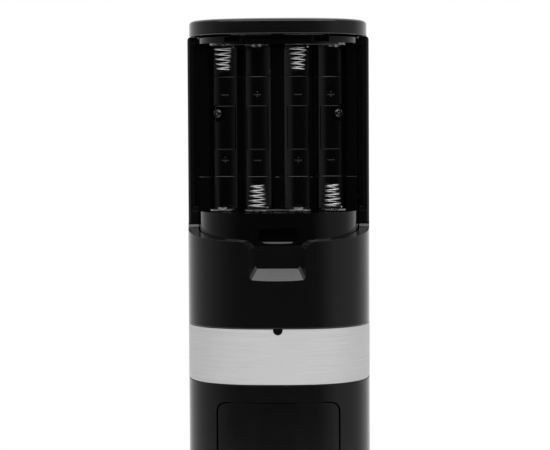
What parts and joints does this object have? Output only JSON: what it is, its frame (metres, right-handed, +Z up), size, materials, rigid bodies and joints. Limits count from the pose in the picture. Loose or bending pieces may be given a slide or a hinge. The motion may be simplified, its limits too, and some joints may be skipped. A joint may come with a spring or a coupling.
{
  "type": "electric pepper mill",
  "caption": "Battery-powered pepper mill: black soft-square body with a steel band, open battery bay, planetary gear drive, conical burr grinder and refill hatch.",
  "frame": {"origin": "centre of the base's resting plane", "axes": "+Z up along the body, the battery side faces -Y"},
  "size_m": [0.055, 0.055, 0.205],
  "materials": {
    "gloss_black": "moulded black ABS, satin gloss",
    "matte_black": "moulded black plastic, matt",
    "brushed_band": "stainless steel brushed around the body",
    "spring_steel": "bright plated spring wire",
    "nickel_plate": "nickel-plated steel",
    "dark_steel": "oiled steel",
    "motor_zinc": "zinc-plated steel",
    "bronze": "sintered bronze",
    "ceramic_white": "unglazed technical ceramic",
    "nylon_white": "moulded nylon",
    "acetal_cream": "moulded acetal",
    "board_green": "printed circuit board",
    "wire_red": "PVC wire sleeve",
    "wire_black": "PVC wire sleeve"
  },
  "bodies": {
    "container": {"container_body": "gloss_black", "steel_band": "brushed_band", "base_ring": "gloss_black", "hatch_hinge_pin": "nickel_plate", "hopper_funnel": "matte_black", "shaft_guide_bush": "bronze", "burr_holder": "matte_black", "stator_burr": "ceramic_white", "grinder_bridge": "matte_black", "burr_spring": "spring_steel"},
    "hatch": {"refill_hatch": "gloss_black"},
    "adjuster": {"adjuster_knob": "matte_black"},
    "thrust": {"thrust_pin": "dark_steel"},
    "rotor": {"rotor_burr": "ceramic_white", "drive_shaft": "dark_steel"},
    "head": {"head_housing": "gloss_black", "top_cap": "gloss_black", "battery_frame": "gloss_black", "frame_screw_left": "nickel_plate", "frame_screw_right": "nickel_plate", "contact_link_top_left": "nickel_plate", "contact_link_top_right": "nickel_plate", "contact_link_bottom": "nickel_plate", "contact_positive": "nickel_plate", "contact_negative": "nickel_plate", "contact_spring_1": "spring_steel", "contact_spring_2": "spring_steel", "contact_spring_3": "spring_steel", "contact_spring_4": "spring_steel", "switch_board": "board_green", "button_switch": "matte_black", "button_spring": "spring_steel", "motor_plate": "motor_zinc", "motor_can": "motor_zinc", "motor_screw_1": "nickel_plate", "motor_screw_2": "nickel_plate", "gearbox_cup": "matte_black", "ring_gear": "acetal_cream", "output_bush": "bronze", "gearbox_screw_1": "nickel_plate", "gearbox_screw_2": "nickel_plate", "gearbox_screw_3": "nickel_plate", "gearbox_screw_4": "nickel_plate", "wire_battery_to_switch": "wire_red", "wire_battery_to_motor": "wire_black", "wire_switch_to_motor": "wire_red"},
    "button": {"push_button": "gloss_black"},
    "motor_rotor": {"motor_shaft": "dark_steel", "motor_pinion": "bronze"},
    "first_stage": {"carrier_1": "acetal_cream"},
    "output_stage": {"carrier_2_socket": "acetal_cream"},
    "planet_1_1": {"planet_gear_1_1": "nylon_white"},
    "planet_1_2": {"planet_gear_1_2": "nylon_white"},
    "planet_1_3": {"planet_gear_1_3": "nylon_white"},
    "planet_2_1": {"planet_gear_2_1": "nylon_white"},
    "planet_2_2": {"planet_gear_2_2": "nylon_white"},
    "planet_2_3": {"planet_gear_2_3": "nylon_white"}
  },
  "joints": [
    {"name": "head_lift", "type": "slide", "parent": "container", "child": "head", "axis": [0, 0, 1], "range_m": [0, 0.06]},
    {"name": "hatch_hinge", "type": "hinge", "parent": "container", "child": "hatch", "pos_m": [0, -0.0263, 0.04645], "axis": [1, 0, 0], "range_deg": [0, 90]},
    {"name": "button_press", "type": "slide", "parent": "head", "child": "button", "axis": [0, 0, -1], "range_m": [0, 0.0012], "stiffness_N_per_m": 1500, "deforming": ["button_spring"]},
    {"name": "adjuster_turn", "type": "hinge", "parent": "container", "child": "adjuster", "pos_m": [0, 0, 0.0038], "axis": [0, 0, 1], "range_deg": [0, 300]},
    {"name": "rotor_lift", "type": "slide", "parent": "container", "child": "thrust", "axis": [0, 0, 1], "range_m": [0, 0.0006], "deforming": ["burr_spring"]},
    {"name": "grinder_spin", "type": "hinge", "parent": "thrust", "child": "rotor", "pos_m": [0, 0, 0.03], "axis": [0, 0, 1], "continuous": true},
    {"name": "output_spin", "type": "hinge", "parent": "head", "child": "output_stage", "pos_m": [0, 0, 0.103], "axis": [0, 0, 1], "continuous": true},
    {"name": "first_stage_spin", "type": "hinge", "parent": "head", "child": "first_stage", "pos_m": [0, 0, 0.1098], "axis": [0, 0, 1], "continuous": true},
    {"name": "motor_spin", "type": "hinge", "parent": "head", "child": "motor_rotor", "pos_m": [0, 0, 0.113], "axis": [0, 0, 1], "continuous": true},
    {"name": "planet_1_1_spin", "type": "hinge", "parent": "first_stage", "child": "planet_1_1", "pos_m": [0.0108, 0, 0.1132], "axis": [0, 0, 1], "continuous": true},
    {"name": "planet_1_2_spin", "type": "hinge", "parent": "first_stage", "child": "planet_1_2", "pos_m": [-0.0054, 0.00935, 0.1132], "axis": [0, 0, 1], "continuous": true},
    {"name": "planet_1_3_spin", "type": "hinge", "parent": "first_stage", "child": "planet_1_3", "pos_m": [-0.0054, -0.00935, 0.1132], "axis": [0, 0, 1], "continuous": true},
    {"name": "planet_2_1_spin", "type": "hinge", "parent": "output_stage", "child": "planet_2_1", "pos_m": [0.0108, 0, 0.1064], "axis": [0, 0, 1], "continuous": true},
    {"name": "planet_2_2_spin", "type": "hinge", "parent": "output_stage", "child": "planet_2_2", "pos_m": [-0.0054, 0.00935, 0.1064], "axis": [0, 0, 1], "continuous": true},
    {"name": "planet_2_3_spin", "type": "hinge", "parent": "output_stage", "child": "planet_2_3", "pos_m": [-0.0054, -0.00935, 0.1064], "axis": [0, 0, 1], "continuous": true}
  ],
  "couplings": [
    {"joint": "adjuster_turn", "follows": "rotor_lift", "rad_per_m": 8726},
    {"joint": "output_spin", "follows": "grinder_spin", "ratio": 1},
    {"joint": "first_stage_spin", "follows": "grinder_spin", "ratio": 4},
    {"joint": "motor_spin", "follows": "grinder_spin", "ratio": 16},
    {"joint": "planet_1_1_spin", "follows": "grinder_spin", "ratio": -12},
    {"joint": "planet_1_2_spin", "follows": "grinder_spin", "ratio": -12},
    {"joint": "planet_1_3_spin", "follows": "grinder_spin", "ratio": -12},
    {"joint": "planet_2_1_spin", "follows": "grinder_spin", "ratio": -3},
    {"joint": "planet_2_2_spin", "follows": "grinder_spin", "ratio": -3},
    {"joint": "planet_2_3_spin", "follows": "grinder_spin", "ratio": -3}
  ]
}
